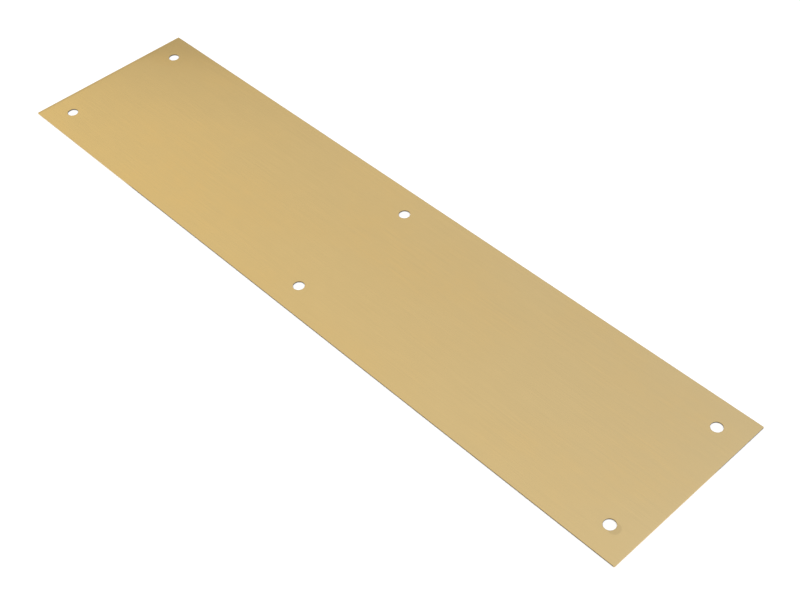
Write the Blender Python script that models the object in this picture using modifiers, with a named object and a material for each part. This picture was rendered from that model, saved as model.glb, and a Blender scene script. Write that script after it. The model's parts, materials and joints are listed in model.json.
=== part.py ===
"""Kick plate: one flat rectangular brass sheet with plain round screw holes.

The plate lies on its back. The origin is the centre of the back face, +X runs along the
length, +Y across the width towards the edge that is uppermost on a door, and +Z points out
of the front face. Sizes are in metres.
"""

import math

import bmesh
import bpy
from mathutils import Vector

# The sheet
PLATE_LENGTH = 0.8636
PLATE_WIDTH = 0.2032
SHEET_THICKNESS = 0.0016
CORNER_RADIUS = 0.0008
CORNER_SEGMENTS = 4

# The arris that deburring leaves on the outline and on each hole, front and back
ARRIS_RADIUS = 0.0002
ARRIS_SEGMENTS = 2

# The screw holes: a grid set in from the two ends and from the two long sides
HOLE_DIAMETER = 0.0120
HOLE_SEGMENTS = 48
HOLE_INSET_FROM_END = 0.0295
HOLE_INSET_FROM_SIDE = 0.0290
HOLES_ALONG_LENGTH = 3
HOLES_ACROSS_WIDTH = 2

# How far a punch stands clear of each face of the sheet
PUNCH_OVERRUN = 0.002

# A bevel profile of one half is a quarter circle
ROUND_PROFILE = 0.5

SHARP_ANGLE = math.radians(40.0)

BRASS_COLOUR = (0.63, 0.47, 0.21, 1.0)
BRASS_ROUGHNESS = 0.12


def clear_scene():
    """Remove every object that the file opened with."""
    for existing in list(bpy.data.objects):
        bpy.data.objects.remove(existing, do_unlink=True)


def new_collection(name):
    """Make a collection and link it to the scene."""
    collection = bpy.data.collections.new(name)
    bpy.context.scene.collection.children.link(collection)
    return collection


def brass_material():
    """Satin brass."""
    material = bpy.data.materials.new("satin_brass")
    material.use_nodes = True
    shader = material.node_tree.nodes["Principled BSDF"]
    shader.inputs["Base Color"].default_value = BRASS_COLOUR
    shader.inputs["Metallic"].default_value = 1.0
    shader.inputs["Roughness"].default_value = BRASS_ROUGHNESS
    return material


def object_from_bmesh(name, shape, collection):
    """Turn a finished bmesh into a named object in a collection."""
    mesh = bpy.data.meshes.new(name)
    shape.to_mesh(mesh)
    shape.free()
    made = bpy.data.objects.new(name, mesh)
    collection.objects.link(made)
    return made


def upright_edges(shape):
    """The edges that run along Z."""
    found = []
    for edge in shape.edges:
        run = edge.verts[1].co - edge.verts[0].co
        if abs(run.normalized().z) > math.cos(SHARP_ANGLE):
            found.append(edge)
    return found


def make_blank(collection):
    """The sheared sheet, back face on z = 0, with its four corners just dubbed off."""
    shape = bmesh.new()
    bmesh.ops.create_cube(shape, size=1.0)
    bmesh.ops.scale(shape, vec=(PLATE_LENGTH, PLATE_WIDTH, SHEET_THICKNESS), verts=shape.verts)
    bmesh.ops.translate(shape, vec=(0.0, 0.0, SHEET_THICKNESS / 2.0), verts=shape.verts)
    bmesh.ops.bevel(
        shape,
        geom=upright_edges(shape),
        offset=CORNER_RADIUS,
        segments=CORNER_SEGMENTS,
        profile=ROUND_PROFILE,
        affect="EDGES",
    )
    return object_from_bmesh("kick_plate", shape, collection)


def spread(inset, extent, count):
    """Evenly spaced places across an extent centred on zero, the outer two set in by inset."""
    places = round(count)
    if places == 1:
        return [0.0]
    first = inset - extent / 2.0
    pitch = (extent - 2.0 * inset) / (places - 1)
    return [first + index * pitch for index in range(places)]


def hole_centres():
    """The centre of each hole at mid thickness."""
    columns = spread(HOLE_INSET_FROM_END, PLATE_LENGTH, HOLES_ALONG_LENGTH)
    rows = spread(HOLE_INSET_FROM_SIDE, PLATE_WIDTH, HOLES_ACROSS_WIDTH)
    return [Vector((x, y, SHEET_THICKNESS / 2.0)) for x in columns for y in rows]


def make_punch(index, centre, collection):
    """A plain round punch that runs past both faces of the sheet."""
    shape = bmesh.new()
    bmesh.ops.create_cone(
        shape,
        cap_ends=True,
        segments=HOLE_SEGMENTS,
        radius1=HOLE_DIAMETER / 2.0,
        radius2=HOLE_DIAMETER / 2.0,
        depth=SHEET_THICKNESS + 2.0 * PUNCH_OVERRUN,
    )
    punch = object_from_bmesh(f"punch_{index}", shape, collection)
    punch.location = centre
    punch.hide_render = True
    punch.display_type = "WIRE"
    return punch


def cut_holes(plate, punches):
    """Cut every hole at once with the collection of punches."""
    cut = plate.modifiers.new("screw_holes", "BOOLEAN")
    cut.operation = "DIFFERENCE"
    cut.solver = "EXACT"
    cut.operand_type = "COLLECTION"
    cut.collection = punches


def ease_arrises(plate):
    """Round the sharp edges of the outline and of the holes, on both faces."""
    ease = plate.modifiers.new("eased_arrises", "BEVEL")
    ease.limit_method = "ANGLE"
    ease.angle_limit = SHARP_ANGLE
    ease.width = ARRIS_RADIUS
    ease.segments = ARRIS_SEGMENTS
    ease.profile = ROUND_PROFILE
    ease.loop_slide = False


def make_kick_plate(collection, punches):
    """The finished plate."""
    plate = make_blank(collection)
    for index, centre in enumerate(hole_centres(), start=1):
        make_punch(index, centre, punches)
    cut_holes(plate, punches)
    ease_arrises(plate)
    plate.data.materials.append(brass_material())
    plate.data.shade_smooth()
    plate.data.set_sharp_from_angle(angle=SHARP_ANGLE)
    return plate


def main():
    clear_scene()
    parts = new_collection("kick_plate")
    punches = new_collection("cutters")
    make_kick_plate(parts, punches)


main()
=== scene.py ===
"""Kick plate: the finish of one satin brass sheet with plain round screw holes, and its stage.

The plate lies on its back: +X runs along its length, +Y across its width and +Z out of the
front face. Everything is in metres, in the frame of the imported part.
"""

import json
import math

import bmesh
import bpy
from bpy.props import (
    FloatProperty,
    FloatVectorProperty,
    IntProperty,
    PointerProperty,
)
from bpy.types import Operator, Panel, PropertyGroup
from mathutils import Matrix, Vector


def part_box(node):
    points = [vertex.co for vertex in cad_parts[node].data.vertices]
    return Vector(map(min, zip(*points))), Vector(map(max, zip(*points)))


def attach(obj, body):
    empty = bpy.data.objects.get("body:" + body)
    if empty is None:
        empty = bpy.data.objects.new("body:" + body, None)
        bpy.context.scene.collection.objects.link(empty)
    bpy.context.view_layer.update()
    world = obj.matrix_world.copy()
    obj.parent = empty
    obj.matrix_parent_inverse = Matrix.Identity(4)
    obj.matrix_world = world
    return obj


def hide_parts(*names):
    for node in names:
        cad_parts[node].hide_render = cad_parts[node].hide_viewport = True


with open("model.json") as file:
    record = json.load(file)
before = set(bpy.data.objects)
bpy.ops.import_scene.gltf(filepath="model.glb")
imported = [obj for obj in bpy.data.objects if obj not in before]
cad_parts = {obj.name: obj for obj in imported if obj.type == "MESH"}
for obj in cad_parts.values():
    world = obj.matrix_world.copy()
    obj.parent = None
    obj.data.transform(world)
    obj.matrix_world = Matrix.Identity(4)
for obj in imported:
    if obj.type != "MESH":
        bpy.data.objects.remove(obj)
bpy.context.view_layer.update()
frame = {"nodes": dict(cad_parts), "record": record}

bl_info = {
    "name": "Brass Kick Plate",
    "version": (1, 0, 0),
    "blender": (4, 5, 0),
    "location": "3D View > Sidebar > Kick Plate",
    "description": "Builds a satin brass kick plate and a plain stage to show it on",
    "category": "Object",
}

PLATE_NODE = "kick_plate"
BODY = "root"

PLATE_LOW, PLATE_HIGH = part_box(PLATE_NODE)
HALF_LENGTH = (PLATE_HIGH.x - PLATE_LOW.x) / 2.0
HALF_WIDTH = (PLATE_HIGH.y - PLATE_LOW.y) / 2.0
GAUGE = PLATE_HIGH.z - PLATE_LOW.z

# What the mesh carries for its materials
EDGE_DISTANCE = "edge_distance"
FACE_SLOT, CUT_SLOT, BACK_SLOT = range(3)

# The colour sockets of a Mix node, whose names its other sockets share
MIX_FACTOR, MIX_FIRST, MIX_SECOND, MIX_RESULT = 0, 6, 7, 2

FULL_TURN = 2.0 * math.pi
QUARTER_TURN = math.pi / 2.0
SMOOTH_ANGLE = math.radians(40.0)


def hole_centres():
    """The centre of each screw hole, from the box that the record keeps open in it."""
    centres = []
    for opening in frame["record"]["physics"]["openings"]:
        low, high = opening["box_m"]
        centres.append(Vector(((low[0] + high[0]) / 2.0, (low[1] + high[1]) / 2.0)))
    return centres


def hole_radius(centre):
    """The radius of the screw hole round a centre: the nearest that the solid comes to it."""
    vertices = frame["nodes"][PLATE_NODE].data.vertices
    return min((vertex.co.xy - centre).length for vertex in vertices)


HOLES = hole_centres()
HOLE_RADIUS = min(hole_radius(centre) for centre in HOLES)

# The screw hole nearest to the camera, at the lower right
NEAR_HOLE = max(HOLES, key=lambda centre: centre.x - centre.y)


# Settings


class KickPlateSettings(PropertyGroup):
    """Sizes and colours of the plate's finish."""

    corner_radius: FloatProperty(
        name="Corner Radius",
        description="How far each corner of the sheet is dubbed off",
        default=0.0008,
        unit="LENGTH",
    )
    rollover_width: FloatProperty(
        name="Rollover Width",
        description="How far in from a cut edge the front face starts to roll down",
        default=0.00035,
        unit="LENGTH",
    )
    rollover_depth: FloatProperty(
        name="Rollover Depth",
        description="How far the front face has rolled down at a cut edge",
        default=0.0002,
        unit="LENGTH",
    )
    break_taper: FloatProperty(
        name="Break Taper",
        description="How far the broken part of a cut edge leans in at the back",
        default=0.00005,
        unit="LENGTH",
    )
    back_arris: FloatProperty(
        name="Back Arris",
        description="Radius of the deburred edge at the back",
        default=0.00012,
        unit="LENGTH",
    )
    shoulder_width: FloatProperty(
        name="Shoulder Width",
        description="How far in from each short end the front face starts to fall away",
        default=0.0048,
        unit="LENGTH",
    )
    shoulder_depth: FloatProperty(
        name="Shoulder Depth",
        description="How far the shear has pulled the front face down at each short end",
        default=0.00008,
        unit="LENGTH",
    )
    wave_height: FloatProperty(
        name="Wave Height",
        description="How far the rolled faces wander from flat",
        default=0.00005,
        unit="LENGTH",
    )
    steps_across_patch: IntProperty(
        name="Steps Round a Hole",
        description="Mesh steps along each side of the square patch round a hole",
        default=16,
        min=4,
    )
    cell_size: FloatProperty(
        name="Cell Size",
        description="Largest mesh cell on the open part of the sheet",
        default=0.008,
        unit="LENGTH",
    )
    brass_colour: FloatVectorProperty(
        name="Brass Colour",
        description="Colour of the lacquered front face",
        default=(0.639, 0.464, 0.200),
        subtype="COLOR",
        size=3,
    )
    face_roughness: FloatProperty(
        name="Face Roughness",
        description="Roughness of the lacquered front face",
        default=0.10,
        subtype="FACTOR",
    )
    lacquer_weight: FloatProperty(
        name="Lacquer Weight",
        description="How strongly the clear lacquer shines over the front face",
        default=0.2,
        subtype="FACTOR",
    )
    lacquer_roughness: FloatProperty(
        name="Lacquer Roughness",
        description="Roughness of the clear lacquer",
        default=0.12,
        subtype="FACTOR",
    )
    # Partly the dull sheared metal's own colour and partly painted shade: it is darker than the
    # metal, so the walls of the edges and holes look shaded.
    dull_and_shaded_cut_colour: FloatVectorProperty(
        name="Cut Colour",
        description="Colour of the dull sheared metal in the edges and the holes",
        default=(0.17, 0.135, 0.085),
        subtype="COLOR",
        size=3,
    )
    # Painted highlight: two stretches of the cut edge get this light colour so that they look lit.
    painted_highlight_colour: FloatVectorProperty(
        name="Bright Cut Colour",
        description="Colour of the stretches of edge that the shear left bright",
        default=(0.60, 0.45, 0.22),
        subtype="COLOR",
        size=3,
    )
    # Where the painted highlight on the right-hand end stops, from the middle.
    highlight_end_stop: FloatProperty(
        name="Bright End Stop",
        description="How far up the right-hand end the bright cut reaches, from the middle",
        default=0.033,
        unit="LENGTH",
    )
    # Where the painted highlight along the lower side stops, from the middle.
    highlight_side_stop: FloatProperty(
        name="Bright Side Stop",
        description="How far along the lower side the bright cut reaches, from the middle",
        default=-0.25,
        unit="LENGTH",
    )
    # The mark is a faint darker disc of the hole's size beside the near lower hole. No cause for it
    # is modelled, only the darkening.
    mark_offset: FloatVectorProperty(
        name="Mark Offset",
        description="From the near lower hole to the faint mark that the punch left beside it",
        default=(0.0055, -0.0007),
        subtype="XYZ",
        unit="LENGTH",
        size=2,
    )
    mark_fade: FloatProperty(
        name="Mark Fade",
        description="How far the rim of the punch's mark fades to either side",
        default=0.0009,
        unit="LENGTH",
    )
    # The mark is the faint darker disc beside the near lower hole.
    mark_strength: FloatProperty(
        name="Mark Strength",
        description="How much the punch's mark darkens the face",
        default=0.24,
        subtype="FACTOR",
    )
    back_colour: FloatVectorProperty(
        name="Back Colour",
        description="Colour of the bare rolled back face",
        default=(0.50, 0.36, 0.16),
        subtype="COLOR",
        size=3,
    )


class StageSettings(PropertyGroup):
    """The floor, the light and the camera."""

    floor_size: FloatProperty(
        name="Floor Size",
        description="Side of the square floor",
        default=60.0,
        unit="LENGTH",
    )
    floor_colour: FloatVectorProperty(
        name="Floor Colour",
        description="Colour of the floor under plain light",
        default=(0.8, 0.8, 0.8),
        subtype="COLOR",
        size=3,
    )
    floor_lift: FloatProperty(
        name="Floor Lift",
        description="How much whiter the floor shows to the eye and in the metal",
        default=0.3,
        subtype="FACTOR",
    )
    warm_light: FloatVectorProperty(
        name="Warm Light",
        description="Colour of the sky over the plate's far end",
        default=(1.05, 1.0, 0.83),
        subtype="COLOR",
        size=3,
    )
    cool_light: FloatVectorProperty(
        name="Cool Light",
        description="Colour of the sky over the plate's near end",
        default=(0.945, 1.0, 1.19),
        subtype="COLOR",
        size=3,
    )
    tent_height: FloatProperty(
        name="Tent Height",
        description="Elevation at which the tent of light starts",
        default=math.radians(35.3),
        subtype="ANGLE",
        unit="ROTATION",
    )
    wall_height: FloatProperty(
        name="Wall Height",
        description="Elevation at which the white wall has faded into the gap above it",
        default=math.radians(33.0),
        subtype="ANGLE",
        unit="ROTATION",
    )
    gap_depth: FloatProperty(
        name="Gap Depth",
        description="How much dimmer the sky is in the gap between the wall and the tent",
        default=0.34,
        subtype="FACTOR",
    )
    lamp_place: FloatVectorProperty(
        name="Lamp Place",
        description="Where the side lamp stands",
        default=(1.5, 0.27, 1.0),
        subtype="XYZ",
        unit="LENGTH",
        size=3,
    )
    lamp_size: FloatProperty(
        name="Lamp Size",
        description="Width of the round side lamp",
        default=1.6,
        unit="LENGTH",
    )
    lamp_power: FloatProperty(
        name="Lamp Power",
        description="Power of the side lamp, in watts",
        default=4.0,
    )
    camera_azimuth: FloatProperty(
        name="Camera Azimuth",
        description="Turn of the camera round the plate from straight in front",
        default=math.radians(49.193),
        subtype="ANGLE",
        unit="ROTATION",
    )
    camera_elevation: FloatProperty(
        name="Camera Elevation",
        description="Height of the camera above the horizon",
        default=math.radians(46.180),
        subtype="ANGLE",
        unit="ROTATION",
    )
    camera_roll: FloatProperty(
        name="Camera Roll",
        description="Turn of the camera about its own line of sight",
        default=math.radians(-3.657),
        subtype="ANGLE",
        unit="ROTATION",
    )
    camera_distance: FloatProperty(
        name="Camera Distance",
        description="From the camera to the point that it aims at",
        default=1.3074,
        unit="LENGTH",
    )
    camera_aim: FloatVectorProperty(
        name="Camera Aim",
        description="The point on the front face in the middle of the view",
        default=(0.08886, -0.01796, GAUGE),
        subtype="XYZ",
        unit="LENGTH",
        size=3,
    )
    camera_lens: FloatProperty(
        name="Camera Lens",
        description="Focal length in millimetres",
        default=60.11,
    )


# The mesh of the plate


def edge_profile(settings):
    """A cut edge from front to back, as (set in from the cut, height) pairs.

    The shear or punch enters from the front. It rolls the front face down, leaves a
    straight burnished land, and the rest breaks away with a slight lean to the back.
    """
    width = settings.rollover_width
    depth = settings.rollover_depth
    taper = settings.break_taper
    arris = settings.back_arris
    roll_steps = 6
    arris_steps = 3
    # Shares of the gauge that lie behind the end of the land and the start of the break
    behind_land = 0.55
    behind_break = 0.50
    # The share of the lean that the break has where it starts
    first_lean = 0.4
    land_foot = (0.0, behind_land * GAUGE)
    break_head = (first_lean * taper, behind_break * GAUGE)
    profile = []
    for step in range(roll_steps + 1):
        angle = step / roll_steps * QUARTER_TURN
        profile.append((width * (1.0 - math.sin(angle)), GAUGE - depth * (1.0 - math.cos(angle))))
    profile += [land_foot, break_head]
    for step in range(arris_steps + 1):
        angle = step / arris_steps * QUARTER_TURN
        profile.append((taper + arris * (1.0 - math.cos(angle)), arris * (1.0 - math.sin(angle))))
    return profile


def support(inset):
    """Where the flat of a face gets one more ring, so that it shades flat up to its edge."""
    ring_gap = 0.0002
    return inset + ring_gap


def stations(half_side, insets, places, patch, steps, cell):
    """Grid lines along one side: close together by the cuts and through each hole's patch."""
    breaks = [-half_side + insets[-1]]
    for place in sorted(places):
        breaks += [place - patch, place + patch]
    breaks.append(half_side - insets[-1])
    lines = [-half_side + inset for inset in insets]
    for index in range(len(breaks) - 1):
        start, end = breaks[index], breaks[index + 1]
        in_patch = index % 2 == 1
        count = steps if in_patch else max(1, math.ceil((end - start) / cell))
        lines += [start + (end - start) * step / count for step in range(1, count + 1)]
    return lines + [half_side - inset for inset in reversed(insets[:-1])]


class SheetMesh:
    """Builds the skin of the sheet from square cells, with a round patch at each hole."""

    # How far in from the outline the grid's outermost lines lie
    edge_lines = (0.0010, 0.0017, 0.0025, 0.0035, 0.0050)

    # Mesh steps round each dubbed corner
    corner_steps = 8

    # Half the side of the square patch round a hole
    patch = 0.013

    # How far out from the hole the rings inside a patch lie, as shares of the way
    patch_rings = (0.12, 0.28, 0.5, 0.75)

    def __init__(self, settings):
        self.settings = settings
        self.shape = bmesh.new()
        self.profile = edge_profile(settings)
        columns = {round(centre.x, 6) for centre in HOLES}
        rows = {round(centre.y, 6) for centre in HOLES}
        steps = settings.steps_across_patch
        cell = settings.cell_size
        self.xs = stations(HALF_LENGTH, self.edge_lines, columns, self.patch, steps, cell)
        self.ys = stations(HALF_WIDTH, self.edge_lines, rows, self.patch, steps, cell)

    def face(self, corners, slot, up):
        """Add one face, wound to look up or down."""
        ordered = corners if up else corners[::-1]
        made = self.shape.faces.new(ordered)
        made.material_index = slot
        made.smooth = True

    def band(self, outer, inner, slot, up=True):
        """Join two closed rings of the same count with a band of four-sided faces."""
        count = len(outer)
        for index in range(count):
            after = (index + 1) % count
            self.face([outer[index], outer[after], inner[after], inner[index]], slot, up)

    def ring(self, points, height):
        """Add a vertex at each point of a flat ring."""
        return [self.shape.verts.new((x, y, height)) for x, y in points]

    def outline(self, inset):
        """The sheet's outline set in by a distance, anticlockwise from the lower left."""
        x_edge = HALF_LENGTH - inset
        y_edge = HALF_WIDTH - inset
        points = [(x, -y_edge) for x in self.xs]
        points += self.corner(1.0, -1.0, inset)
        points += [(x_edge, y) for y in self.ys]
        points += self.corner(1.0, 1.0, inset)
        points += [(x, y_edge) for x in reversed(self.xs)]
        points += self.corner(-1.0, 1.0, inset)
        points += [(-x_edge, y) for y in reversed(self.ys)]
        points += self.corner(-1.0, -1.0, inset)
        return points

    def corner(self, x_side, y_side, inset):
        """The dubbed corner of an outline, as points on an arc."""
        radius = self.settings.corner_radius
        centre_x = x_side * (HALF_LENGTH - radius)
        centre_y = y_side * (HALF_WIDTH - radius)
        middle = math.atan2(y_side, x_side)
        points = []
        for step in range(self.corner_steps + 1):
            angle = middle + (step / self.corner_steps - 0.5) * QUARTER_TURN
            reach = radius - inset
            points.append((centre_x + reach * math.cos(angle), centre_y + reach * math.sin(angle)))
        return points

    def circle(self, centre, radius):
        """A circle round a hole, anticlockwise from its lower left, to match its patch."""
        count = 4 * self.settings.steps_across_patch
        lower_left = -1.5 * QUARTER_TURN
        points = []
        for index in range(count):
            turn = lower_left + FULL_TURN * index / count
            points.append((centre.x + radius * math.cos(turn), centre.y + radius * math.sin(turn)))
        return points

    def in_patch(self, x, y):
        """Whether a point is inside the square patch of a hole."""
        return any(max(abs(x - hole.x), abs(y - hole.y)) < self.patch for hole in HOLES)

    def grid(self, height, slot, up):
        """The open part of one face. Returns its vertices by row and column."""
        grid = {}
        for row, y in enumerate(self.ys):
            for column, x in enumerate(self.xs):
                inner = self.in_patch(x, y) and not self.on_patch_side(x, y)
                if not inner:
                    grid[row, column] = self.shape.verts.new((x, y, height))
        for row in range(len(self.ys) - 1):
            for column in range(len(self.xs) - 1):
                x = (self.xs[column] + self.xs[column + 1]) / 2.0
                y = (self.ys[row] + self.ys[row + 1]) / 2.0
                if self.in_patch(x, y):
                    continue
                corners = [
                    grid[row, column],
                    grid[row, column + 1],
                    grid[row + 1, column + 1],
                    grid[row + 1, column],
                ]
                self.face(corners, slot, up)
        return grid

    def on_patch_side(self, x, y):
        """Whether a point lies on the side of a hole's square patch."""
        tiny = 1e-6
        for hole in HOLES:
            reach = max(abs(x - hole.x), abs(y - hole.y))
            if abs(reach - self.patch) < tiny:
                return True
        return False

    def patch_side(self, grid, centre):
        """The grid's vertices round a hole's patch, anticlockwise from the lower left."""
        left = self.nearest(self.xs, centre.x - self.patch)
        right = self.nearest(self.xs, centre.x + self.patch)
        bottom = self.nearest(self.ys, centre.y - self.patch)
        top = self.nearest(self.ys, centre.y + self.patch)
        ring = [grid[bottom, column] for column in range(left, right)]
        ring += [grid[row, right] for row in range(bottom, top)]
        ring += [grid[top, column] for column in range(right, left, -1)]
        ring += [grid[row, left] for row in range(top, bottom, -1)]
        return ring

    @staticmethod
    def nearest(lines, place):
        """The index of the grid line nearest to a place."""
        return min(range(len(lines)), key=lambda index: abs(lines[index] - place))

    def round_patch(self, grid, centre, hole_ring, slot, up):
        """Fill between a hole's square patch and the ring round the hole."""
        square = self.patch_side(grid, centre)
        outer = square
        for share in reversed(self.patch_rings):
            middle = []
            for far, near in zip(square, hole_ring):
                middle.append(self.shape.verts.new(near.co.lerp(far.co, share)))
            self.band(outer, middle, slot, up)
            outer = middle
        self.band(outer, hole_ring, slot, up)

    def rim(self, grid, ring, slot, up):
        """Fill between the grid and the ring just inside the sheet's outline."""
        last_column = len(self.xs) - 1
        last_row = len(self.ys) - 1
        inner = [grid[0, column] for column in range(last_column + 1)]
        inner += [grid[0, last_column]] * (self.corner_steps + 1)
        inner += [grid[row, last_column] for row in range(last_row + 1)]
        inner += [grid[last_row, last_column]] * (self.corner_steps + 1)
        inner += [grid[last_row, column] for column in range(last_column, -1, -1)]
        inner += [grid[last_row, 0]] * (self.corner_steps + 1)
        inner += [grid[row, 0] for row in range(last_row, -1, -1)]
        inner += [grid[0, 0]] * (self.corner_steps + 1)
        count = len(ring)
        for index in range(count):
            after = (index + 1) % count
            corners = [ring[index], ring[after], inner[after]]
            if inner[index] is not inner[after]:
                corners.append(inner[index])
            self.face(corners, slot, up)

    def edge(self, ring_points, outward):
        """The skin of one cut edge. Returns its rings on the front flat and the back flat.

        ring_points gives the points of a ring for a distance set in from the cut. The front
        face's finish runs over the upper half of the rollover.
        """
        first_inset = self.profile[0][0]
        last_inset = self.profile[-1][0]
        front = self.ring(ring_points(support(first_inset)), GAUGE)
        rings = [self.ring(ring_points(inset), height) for inset, height in self.profile]
        back = self.ring(ring_points(support(last_inset)), 0.0)
        self.band(rings[0], front, FACE_SLOT, outward)
        finish_foot = GAUGE - self.settings.rollover_depth / 2.0
        for upper, lower in zip(rings, rings[1:]):
            height = (upper[0].co.z + lower[0].co.z) / 2.0
            slot = FACE_SLOT if height > finish_foot else CUT_SLOT
            self.band(lower, upper, slot, outward)
        self.band(back, rings[-1], BACK_SLOT, outward)
        return front, back

    def build(self):
        """The whole skin."""
        front_rim, back_rim = self.edge(self.outline, True)
        front_grid = self.grid(GAUGE, FACE_SLOT, True)
        back_grid = self.grid(0.0, BACK_SLOT, False)
        self.rim(front_grid, front_rim, FACE_SLOT, True)
        self.rim(back_grid, back_rim, BACK_SLOT, False)
        for centre in HOLES:
            front_ring, back_ring = self.edge(
                lambda inset: self.circle(centre, HOLE_RADIUS + inset), False
            )
            self.round_patch(front_grid, centre, front_ring, FACE_SLOT, True)
            self.round_patch(back_grid, centre, back_ring, BACK_SLOT, False)
        self.wander()
        self.measure_distance()
        return self.shape

    def wander(self):
        """Let the two rolled faces wander a little, always inside the sheet's gauge."""
        height = self.settings.wave_height
        front_phase = 0.0
        back_phase = 2.0
        for vertex in self.shape.verts:
            share = vertex.co.z / GAUGE
            front = height * ripple(vertex.co.x, vertex.co.y, front_phase) + self.shoulder(vertex.co)
            back = height * ripple(vertex.co.x, vertex.co.y, back_phase)
            vertex.co.z += back * (1.0 - share) - front * share

    def shoulder(self, point):
        """How far the shear has pulled the front face down near a short end."""
        inset = HALF_LENGTH - abs(point.x)
        share = max(0.0, 1.0 - inset / self.settings.shoulder_width)
        return self.settings.shoulder_depth * share**2

    def measure_distance(self):
        """Store how far each vertex is from the nearest cut edge."""
        layer = self.shape.verts.layers.float.new(EDGE_DISTANCE)
        for vertex in self.shape.verts:
            vertex[layer] = distance_from_cut(vertex.co)


def ripple(x, y, phase):
    """Long shallow waves of a rolled sheet, between 0 and 1."""
    # The length of each wave along the sheet and across it, its offset and its share
    waves = (
        (0.290, 0.190, 0.3, 0.34),
        (0.170, -0.420, 1.9, 0.26),
        (0.410, 0.110, 4.1, 0.24),
        (0.095, 0.260, 2.6, 0.16),
    )
    total = 0.0
    for length_x, length_y, offset, share in waves:
        total += share * math.sin(FULL_TURN * (x / length_x + y / length_y) + offset + phase)
    return 0.5 + 0.5 * total


def distance_from_cut(point):
    """How far a point of the sheet is from its outline or from the nearest hole."""
    sides = min(HALF_LENGTH - abs(point.x), HALF_WIDTH - abs(point.y))
    holes = min((point.xy - hole).length - HOLE_RADIUS for hole in HOLES)
    return max(min(sides, holes), 0.0)


# Node tools


def new_material(name):
    """A material with an empty node tree. Returns the material and the tree."""
    material = bpy.data.materials.new(name)
    material.use_nodes = True
    tree = material.node_tree
    tree.nodes.clear()
    return material, tree


def new_group(name, inputs, outputs):
    """A node group with named sockets. Returns it with its input node and its output node."""
    group = bpy.data.node_groups.new(name, "ShaderNodeTree")
    for label, kind, value in inputs:
        socket = group.interface.new_socket(label, in_out="INPUT", socket_type=kind)
        socket.default_value = value
    for label in outputs:
        group.interface.new_socket(label, in_out="OUTPUT", socket_type="NodeSocketFloat")
    return group, group.nodes.new("NodeGroupInput"), group.nodes.new("NodeGroupOutput")


def place_group(tree, group, **values):
    """Place a node group in a tree and set its inputs by name. Returns its outputs."""
    node = tree.nodes.new("ShaderNodeGroup")
    node.node_tree = group
    for label, value in values.items():
        node.inputs[label.replace("_", " ").title()].default_value = value
    return node.outputs


def feed(tree, socket, value):
    """Link a socket's value into an input, or set the input to a plain value."""
    if isinstance(value, bpy.types.NodeSocket):
        tree.links.new(value, socket)
    else:
        socket.default_value = value


def math_node(tree, operation, first, second):
    """A Math node. Returns its output."""
    node = tree.nodes.new("ShaderNodeMath")
    node.operation = operation
    feed(tree, node.inputs[0], first)
    feed(tree, node.inputs[1], second)
    return node.outputs["Value"]


def vector_node(tree, operation, first, second):
    """A Vector Math node. Returns its outputs."""
    node = tree.nodes.new("ShaderNodeVectorMath")
    node.operation = operation
    feed(tree, node.inputs[0], first)
    feed(tree, node.inputs[1], second)
    return node.outputs


def map_range(tree, value, low, high, to_low=0.0, to_high=1.0, smooth=True):
    """Carry a value from one range to another, clamped. Returns the output."""
    node = tree.nodes.new("ShaderNodeMapRange")
    node.interpolation_type = "SMOOTHSTEP" if smooth else "LINEAR"
    node.inputs["From Min"].default_value = low
    node.inputs["From Max"].default_value = high
    node.inputs["To Min"].default_value = to_low
    node.inputs["To Max"].default_value = to_high
    tree.links.new(value, node.inputs["Value"])
    return node.outputs["Result"]


def opaque(colour):
    """A colour with full alpha, where it isn't a socket."""
    return colour if isinstance(colour, bpy.types.NodeSocket) else (*colour, 1.0)


def mix_colours(tree, factor, first, second):
    """Mix two colours. Returns the output."""
    node = tree.nodes.new("ShaderNodeMix")
    node.data_type = "RGBA"
    feed(tree, node.inputs[MIX_FACTOR], factor)
    feed(tree, node.inputs[MIX_FIRST], opaque(first))
    feed(tree, node.inputs[MIX_SECOND], opaque(second))
    return node.outputs[MIX_RESULT]


def in_part(tree, value, share):
    """A mask weakened to a share of its strength. Returns the output."""
    return math_node(tree, "MULTIPLY", value, share)


def object_place(tree):
    """Where a point is on the plate, in metres. Returns the output."""
    return tree.nodes.new("ShaderNodeTexCoord").outputs["Object"]


def stretched_noise(tree, size, detail):
    """Noise whose features have about the given size along each axis. Returns the value."""
    noise = tree.nodes.new("ShaderNodeTexNoise")
    noise.inputs["Scale"].default_value = 1.0
    noise.inputs["Detail"].default_value = detail
    squeezed = vector_node(tree, "DIVIDE", object_place(tree), size)
    tree.links.new(squeezed["Vector"], noise.inputs["Vector"])
    return noise.outputs["Fac"]


def contrast(tree, noise, spread):
    """Stretch the middle of a noise's values to run from 0 to 1. Returns the output."""
    return map_range(tree, noise, 0.5 - spread, 0.5 + spread)


# Surface effects that the finishes share


def lengthwise_grain():
    """Fine scratches along the sheet, as a height, and scratches and streaks of tone."""
    group, source, out = new_group(
        "lengthwise_grain",
        (
            ("Fine Size", "NodeSocketVector", (0.030, 0.00018, 0.00018)),
            ("Coarse Size", "NodeSocketVector", (0.110, 0.0009, 0.0009)),
        ),
        ("Height", "Scratch", "Streak"),
    )
    fine_share = 0.6
    scratch_spread = 0.12
    streak_spread = 0.2
    fine = stretched_noise(group, source.outputs["Fine Size"], detail=2.0)
    coarse = stretched_noise(group, source.outputs["Coarse Size"], detail=3.0)
    fine_part = in_part(group, fine, fine_share)
    coarse_part = in_part(group, coarse, 1.0 - fine_share)
    height = math_node(group, "ADD", fine_part, coarse_part)
    group.links.new(height, out.inputs["Height"])
    group.links.new(contrast(group, height, scratch_spread), out.inputs["Scratch"])
    group.links.new(contrast(group, coarse, streak_spread), out.inputs["Streak"])
    return group


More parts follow.
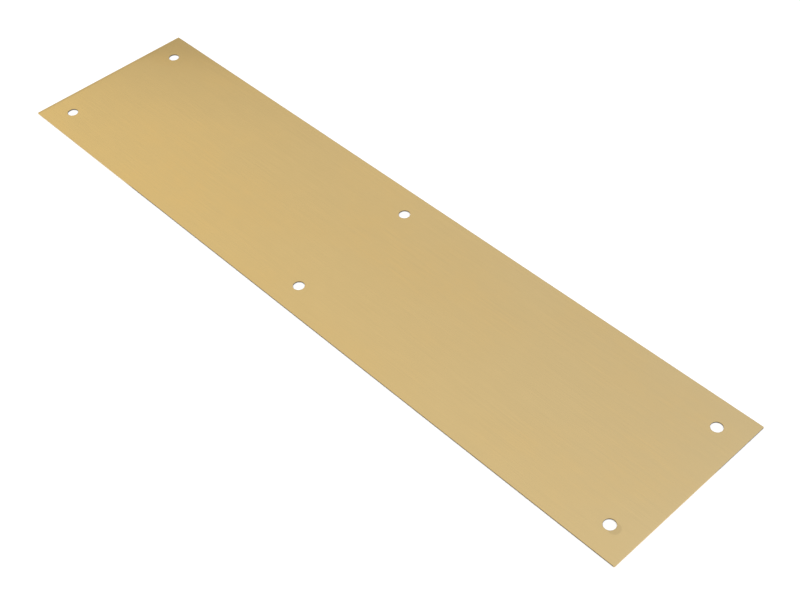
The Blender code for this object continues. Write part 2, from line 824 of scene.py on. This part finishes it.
def soft_clouds():
    """Wide and small soft patches, where a surface has been handled or has dulled."""
    group, source, out = new_group(
        "soft_clouds",
        (
            ("Wide Size", "NodeSocketVector", (0.160, 0.110, 0.110)),
            ("Small Size", "NodeSocketVector", (0.028, 0.020, 0.020)),
        ),
        ("Wide", "Small"),
    )
    spread = 0.15
    wide = stretched_noise(group, source.outputs["Wide Size"], detail=2.0)
    small = stretched_noise(group, source.outputs["Small Size"], detail=3.0)
    group.links.new(contrast(group, wide, spread), out.inputs["Wide"])
    group.links.new(contrast(group, small, spread), out.inputs["Small"])
    return group


def edge_mask():
    """A mask that is 1 at a cut edge and fades to 0 at a distance in from it."""
    group, source, out = new_group(
        "edge_mask",
        (("Reach", "NodeSocketFloat", 0.003),),
        ("Mask",),
    )
    distance = group.nodes.new("ShaderNodeAttribute")
    distance.attribute_name = EDGE_DISTANCE
    share = math_node(group, "DIVIDE", distance.outputs["Fac"], source.outputs["Reach"])
    group.links.new(map_range(group, share, 0.0, 1.0, 1.0, 0.0), out.inputs["Mask"])
    return group


# The plate's three finishes


def metal_shader(tree):
    """A Principled metal with its output. Returns the shader."""
    shader = tree.nodes.new("ShaderNodeBsdfPrincipled")
    output = tree.nodes.new("ShaderNodeOutputMaterial")
    shader.inputs["Metallic"].default_value = 1.0
    tree.links.new(shader.outputs["BSDF"], output.inputs["Surface"])
    return shader


def add_bump(tree, shader, height, depth):
    """Let a height between 0 and 1 stand for a real depth in a shader's normal."""
    node = tree.nodes.new("ShaderNodeBump")
    node.inputs["Distance"].default_value = depth
    tree.links.new(height, node.inputs["Height"])
    tree.links.new(node.outputs["Normal"], shader.inputs["Normal"])


def shade(colour, factor):
    """A colour made darker or lighter by a factor."""
    return [channel * factor for channel in colour]


def tone(colour, factors):
    """A colour with each channel scaled by its own factor."""
    return [channel * factor for channel, factor in zip(colour, factors)]


def lay_tones(tree, colour, metal, layers):
    """Lay darker or lighter tones over a colour, one layer on another. Returns the output.

    Each layer is a mask, the share of it that counts, and the factor that darkens or
    lightens the metal's own colour there.
    """
    for mask, share, factor in layers:
        colour = mix_colours(tree, in_part(tree, mask, share), colour, shade(metal, factor))
    return colour


def offset_dark_disc(tree, settings):
    """A faint darker disc of the hole's size beside the near lower hole. Returns the mask."""
    centre = NEAR_HOLE + Vector(settings.mark_offset)
    flat = vector_node(tree, "MULTIPLY", object_place(tree), (1.0, 1.0, 0.0))["Vector"]
    away = vector_node(tree, "DISTANCE", flat, (*centre, 0.0))["Value"]
    fade = settings.mark_fade
    return map_range(tree, away, HOLE_RADIUS - fade, HOLE_RADIUS + fade, 1.0, 0.0)


def lacquered_brass(settings, grain_group, cloud_group, mask_group):
    """The front face: satin brass under clear lacquer."""
    rim_reach = 0.0012
    warm_tint = (1.02, 0.99, 0.93)
    smoothest = settings.face_roughness - 0.02
    dullest = settings.face_roughness + 0.03
    streak_roughness = 0.03
    grain_depth = 0.000002

    material, tree = new_material("lacquered_brass")
    shader = metal_shader(tree)
    shader.inputs["Coat Weight"].default_value = settings.lacquer_weight
    shader.inputs["Coat Roughness"].default_value = settings.lacquer_roughness
    grain = place_group(tree, grain_group)
    clouds = place_group(tree, cloud_group)
    rim = place_group(tree, mask_group, reach=rim_reach)

    brass = settings.brass_colour
    layers = (
        (clouds["Small"], 0.5, 0.975),
        (grain["Streak"], 0.3, 1.03),
        (grain["Scratch"], 0.5, 0.90),
        (rim["Mask"], 0.2, 0.72),
        (offset_dark_disc(tree, settings), settings.mark_strength, 0.5),
    )
    colour = mix_colours(tree, clouds["Wide"], tone(brass, warm_tint), brass)
    tree.links.new(lay_tones(tree, colour, brass, layers), shader.inputs["Base Color"])

    smeared = map_range(tree, clouds["Wide"], 0.0, 1.0, smoothest, dullest)
    streaked = in_part(tree, grain["Streak"], streak_roughness)
    tree.links.new(math_node(tree, "ADD", smeared, streaked), shader.inputs["Roughness"])
    add_bump(tree, shader, grain["Height"], grain_depth)
    return material


def painted_highlight_stretch(tree, outward, edge, along_edge, stop):
    """A mask for the part of one cut edge that comes before a stop along it, where the painted
    highlight goes.
    """
    reach = 0.0012
    fade = 0.01
    at_edge = map_range(tree, outward, edge - reach, edge - reach / 2.0)
    before = map_range(tree, along_edge, stop - fade, stop + fade, 1.0, 0.0)
    return math_node(tree, "MULTIPLY", at_edge, before)


def cut_brass(settings, cloud_group):
    """The sheared edges and the walls of the holes: bare and lined by the tool.

    They are dull metal, darkened further by painted shade, but for two stretches of the outline that
    carry a painted highlight, coloured as if those walls caught the light.
    """
    line_size = (0.00022, 0.00022, 0.004)
    line_spread = 0.2
    line_depth = 0.00003
    darkest = 0.8
    lightest = 1.25
    smoothest = 0.42
    dullest = 0.56

    material, tree = new_material("cut_brass")
    shader = metal_shader(tree)
    clouds = place_group(tree, cloud_group)
    tool_lines = stretched_noise(tree, line_size, detail=3.0)
    lines = contrast(tree, tool_lines, line_spread)

    # The cut walls' colour: dull metal, darkened further by painted shade.
    dull = settings.dull_and_shaded_cut_colour
    layers = ((clouds["Small"], 0.4, 0.7),)
    colour = mix_colours(tree, lines, shade(dull, darkest), shade(dull, lightest))
    colour = lay_tones(tree, colour, dull, layers)
    place = tree.nodes.new("ShaderNodeSeparateXYZ")
    tree.links.new(object_place(tree), place.inputs["Vector"])
    x, y = place.outputs["X"], place.outputs["Y"]
    downward = math_node(tree, "MULTIPLY", y, -1.0)
    # The painted highlight: two stretches of the cut edge coloured as if their walls caught the
    # light.
    at_end = painted_highlight_stretch(tree, x, HALF_LENGTH, y, settings.highlight_end_stop)
    at_side = painted_highlight_stretch(tree, downward, HALF_WIDTH, x, settings.highlight_side_stop)
    bright = math_node(tree, "MAXIMUM", at_end, at_side)
    colour = mix_colours(tree, bright, colour, settings.painted_highlight_colour)
    tree.links.new(colour, shader.inputs["Base Color"])

    roughness = map_range(tree, lines, 0.0, 1.0, smoothest, dullest, smooth=False)
    tree.links.new(roughness, shader.inputs["Roughness"])
    add_bump(tree, shader, tool_lines, line_depth)
    return material


def rolled_brass(settings, grain_group, cloud_group, mask_group):
    """The back face: bare brass as it left the mill, with soft dull patches."""
    scratch_size = (0.045, 0.0003, 0.0003)
    wide_cloud = (0.260, 0.090, 0.090)
    small_cloud = (0.060, 0.016, 0.016)
    rim_reach = 0.004
    brown_tint = (0.90, 0.86, 0.80)
    smoothest = 0.34
    dullest = 0.44
    streak_roughness = 0.06
    grain_depth = 0.000006

    material, tree = new_material("rolled_brass")
    shader = metal_shader(tree)
    grain = place_group(tree, grain_group, fine_size=scratch_size)
    clouds = place_group(tree, cloud_group, wide_size=wide_cloud, small_size=small_cloud)
    rim = place_group(tree, mask_group, reach=rim_reach)

    brass = settings.back_colour
    layers = (
        (clouds["Small"], 0.25, 0.82),
        (grain["Scratch"], 0.5, 0.88),
        (rim["Mask"], 0.4, 0.6),
    )
    colour = mix_colours(tree, clouds["Wide"], brass, tone(brass, brown_tint))
    tree.links.new(lay_tones(tree, colour, brass, layers), shader.inputs["Base Color"])

    dulled = map_range(tree, clouds["Wide"], 0.0, 1.0, smoothest, dullest)
    streaked = in_part(tree, grain["Streak"], streak_roughness)
    tree.links.new(math_node(tree, "ADD", dulled, streaked), shader.inputs["Roughness"])
    add_bump(tree, shader, grain["Height"], grain_depth)
    return material


# The stage


def pale_floor(settings):
    """A white floor that shows white to the eye and in the metal, and keeps the shadow."""
    material, tree = new_material("pale_floor")
    matt = tree.nodes.new("ShaderNodeBsdfDiffuse")
    matt.inputs["Color"].default_value = (*settings.floor_colour, 1.0)
    glow = tree.nodes.new("ShaderNodeEmission")
    path = tree.nodes.new("ShaderNodeLightPath").outputs
    seen = math_node(tree, "MAXIMUM", path["Is Camera Ray"], path["Is Glossy Ray"])
    seen = math_node(tree, "MAXIMUM", seen, path["Is Transmission Ray"])
    tree.links.new(in_part(tree, seen, settings.floor_lift), glow.inputs["Strength"])
    total = tree.nodes.new("ShaderNodeAddShader")
    output = tree.nodes.new("ShaderNodeOutputMaterial")
    tree.links.new(matt.outputs["BSDF"], total.inputs[0])
    tree.links.new(glow.outputs["Emission"], total.inputs[1])
    tree.links.new(total.outputs["Shader"], output.inputs["Surface"])
    return material


def make_floor(settings):
    """A plain square floor that the plate lies on."""
    cells = 4
    shape = bmesh.new()
    bmesh.ops.create_grid(
        shape, x_segments=cells, y_segments=cells, size=settings.floor_size / 2.0
    )
    mesh = bpy.data.meshes.new("floor")
    shape.to_mesh(mesh)
    shape.free()
    floor = bpy.data.objects.new("floor", mesh)
    floor.location.z = PLATE_LOW.z
    bpy.context.scene.collection.objects.link(floor)
    mesh.materials.append(pale_floor(settings))


def make_sky(settings):
    """A white wall all round, a soft tent of light above it, and a dimmer gap between them.

    The gap is deepest past the plate's far end. The tent is warmer on that side of the room
    and cooler on the other. The whole sky is a little dimmer straight across from the camera.
    """
    # Where the tint turns from warm to cool, along its axis
    tint_start = -0.25
    tint_end = 0.35
    # How far the tent and the wall fade at their rims
    tent_fade = math.radians(0.6)
    wall_fade = math.radians(4.0)
    # Where the gap deepens, along its axis, and how deep it is elsewhere
    deep_start = 0.66
    deep_end = 0.78
    shallowest = settings.gap_depth / 3.0
    # Where the sky dims across from the camera, along its axis, and its level on either side
    dim_start = 0.68
    dim_end = 0.82
    full_level = 1.12
    dim_level = 0.985

    world = bpy.data.worlds.new("studio_sky")
    world.use_nodes = True
    tree = world.node_tree
    tree.nodes.clear()
    direction = tree.nodes.new("ShaderNodeTexCoord").outputs["Generated"]

    def towards(axis):
        """How far the sky's direction points along an axis."""
        return vector_node(tree, "DOT_PRODUCT", direction, axis)["Value"]

    cool_side = towards((0.686, 0.713, 0.151))
    hue = map_range(tree, cool_side, tint_start, tint_end, smooth=False)
    tint = mix_colours(tree, hue, settings.warm_light, settings.cool_light)

    # The tent hangs a little lower at the front and on the left
    tent_foot = math.sin(settings.tent_height - tent_fade)
    tent_rim = towards((-0.10, -0.17, 1.0))
    tent = map_range(tree, tent_rim, tent_foot, math.sin(settings.tent_height))

    wall_foot = math.sin(settings.wall_height - wall_fade)
    height = towards((0.0, 0.0, 1.0))
    wall = map_range(tree, height, wall_foot, math.sin(settings.wall_height), 1.0, 0.0)
    colour = mix_colours(tree, wall, tint, (1.0, 1.0, 1.0))

    far_side = towards((-0.87, 0.49, 0.0))
    depth = map_range(tree, far_side, deep_start, deep_end, shallowest, settings.gap_depth)
    between = math_node(tree, "SUBTRACT", 1.0, math_node(tree, "MAXIMUM", tent, wall))
    level = math_node(tree, "SUBTRACT", 1.0, math_node(tree, "MULTIPLY", between, depth))

    across = towards((-0.474, 0.855, 0.213))
    dimming = map_range(tree, across, dim_start, dim_end, full_level, dim_level, smooth=False)
    strength = math_node(tree, "MULTIPLY", level, dimming)

    background = tree.nodes.new("ShaderNodeBackground")
    output = tree.nodes.new("ShaderNodeOutputWorld")
    tree.links.new(colour, background.inputs["Color"])
    tree.links.new(strength, background.inputs["Strength"])
    tree.links.new(background.outputs["Background"], output.inputs["Surface"])
    bpy.context.scene.world = world


def make_lamp(settings):
    """A big soft lamp to the right of the plate, aimed at the plate's middle."""
    data = bpy.data.lights.new("side_lamp", "AREA")
    data.shape = "DISK"
    data.size = settings.lamp_size
    data.energy = settings.lamp_power
    lamp = bpy.data.objects.new("side_lamp", data)
    lamp.location = settings.lamp_place
    lamp.rotation_euler = (-lamp.location).to_track_quat("-Z", "Y").to_euler()
    bpy.context.scene.collection.objects.link(lamp)


def make_camera(settings):
    """The camera, placed by its turn, height and distance from the point it aims at."""
    data = bpy.data.cameras.new("camera")
    data.lens = settings.camera_lens
    camera = bpy.data.objects.new("camera", data)
    azimuth = settings.camera_azimuth
    elevation = settings.camera_elevation
    back = Vector(
        (
            math.sin(azimuth) * math.cos(elevation),
            -math.cos(azimuth) * math.cos(elevation),
            math.sin(elevation),
        )
    )
    turn = Matrix.Rotation(azimuth, 4, "Z") @ Matrix.Rotation(QUARTER_TURN - elevation, 4, "X")
    roll = Matrix.Rotation(settings.camera_roll, 4, "Z")
    place = Matrix.Translation(Vector(settings.camera_aim) + back * settings.camera_distance)
    camera.matrix_world = place @ turn @ roll
    bpy.context.scene.collection.objects.link(camera)
    bpy.context.scene.camera = camera


# Operators and panel


class OBJECT_OT_kick_plate(Operator):
    """Build the plate's finished skin in place of its plain solid"""

    bl_idname = "object.build_kick_plate"
    bl_label = "Kick Plate"
    bl_options = {"REGISTER", "UNDO"}

    def execute(self, context):
        settings = context.scene.kick_plate
        shape = SheetMesh(settings).build()
        mesh = bpy.data.meshes.new("finished_plate")
        shape.to_mesh(mesh)
        shape.free()
        mesh.set_sharp_from_angle(angle=SMOOTH_ANGLE)
        plate = bpy.data.objects.new("finished_plate", mesh)
        context.scene.collection.objects.link(plate)
        grain = lengthwise_grain()
        clouds = soft_clouds()
        mask = edge_mask()
        mesh.materials.append(lacquered_brass(settings, grain, clouds, mask))
        mesh.materials.append(cut_brass(settings, clouds))
        mesh.materials.append(rolled_brass(settings, grain, clouds, mask))
        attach(plate, BODY)
        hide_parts(PLATE_NODE)
        return {"FINISHED"}


class SCENE_OT_stage(Operator):
    """Build the floor, the soft light and the camera"""

    bl_idname = "scene.build_plate_stage"
    bl_label = "Stage"
    bl_options = {"REGISTER", "UNDO"}

    def execute(self, context):
        settings = context.scene.plate_stage
        context.scene.view_settings.view_transform = "Standard"
        make_floor(settings)
        make_sky(settings)
        make_lamp(settings)
        make_camera(settings)
        return {"FINISHED"}


class VIEW3D_PT_kick_plate(Panel):
    """The plate's settings and the buttons that build it"""

    bl_idname = "VIEW3D_PT_kick_plate"
    bl_label = "Kick Plate"
    bl_space_type = "VIEW_3D"
    bl_region_type = "UI"
    bl_category = "Kick Plate"

    def draw(self, context):
        for settings, operator in (
            (context.scene.kick_plate, OBJECT_OT_kick_plate),
            (context.scene.plate_stage, SCENE_OT_stage),
        ):
            box = self.layout.box()
            for name in settings.__annotations__:
                box.prop(settings, name)
            box.operator(operator.bl_idname)


CLASSES = (
    KickPlateSettings,
    StageSettings,
    OBJECT_OT_kick_plate,
    SCENE_OT_stage,
    VIEW3D_PT_kick_plate,
)


def register():
    """Register the classes and hang their settings on the scene."""
    for cls in CLASSES:
        bpy.utils.register_class(cls)
    bpy.types.Scene.kick_plate = PointerProperty(type=KickPlateSettings)
    bpy.types.Scene.plate_stage = PointerProperty(type=StageSettings)


def unregister():
    """Undo register."""
    del bpy.types.Scene.plate_stage
    del bpy.types.Scene.kick_plate
    for cls in reversed(CLASSES):
        bpy.utils.unregister_class(cls)


def main():
    """Build the plate and its stage."""
    register()
    bpy.ops.object.build_kick_plate()
    bpy.ops.scene.build_plate_stage()


if __name__ == "__main__":
    main()
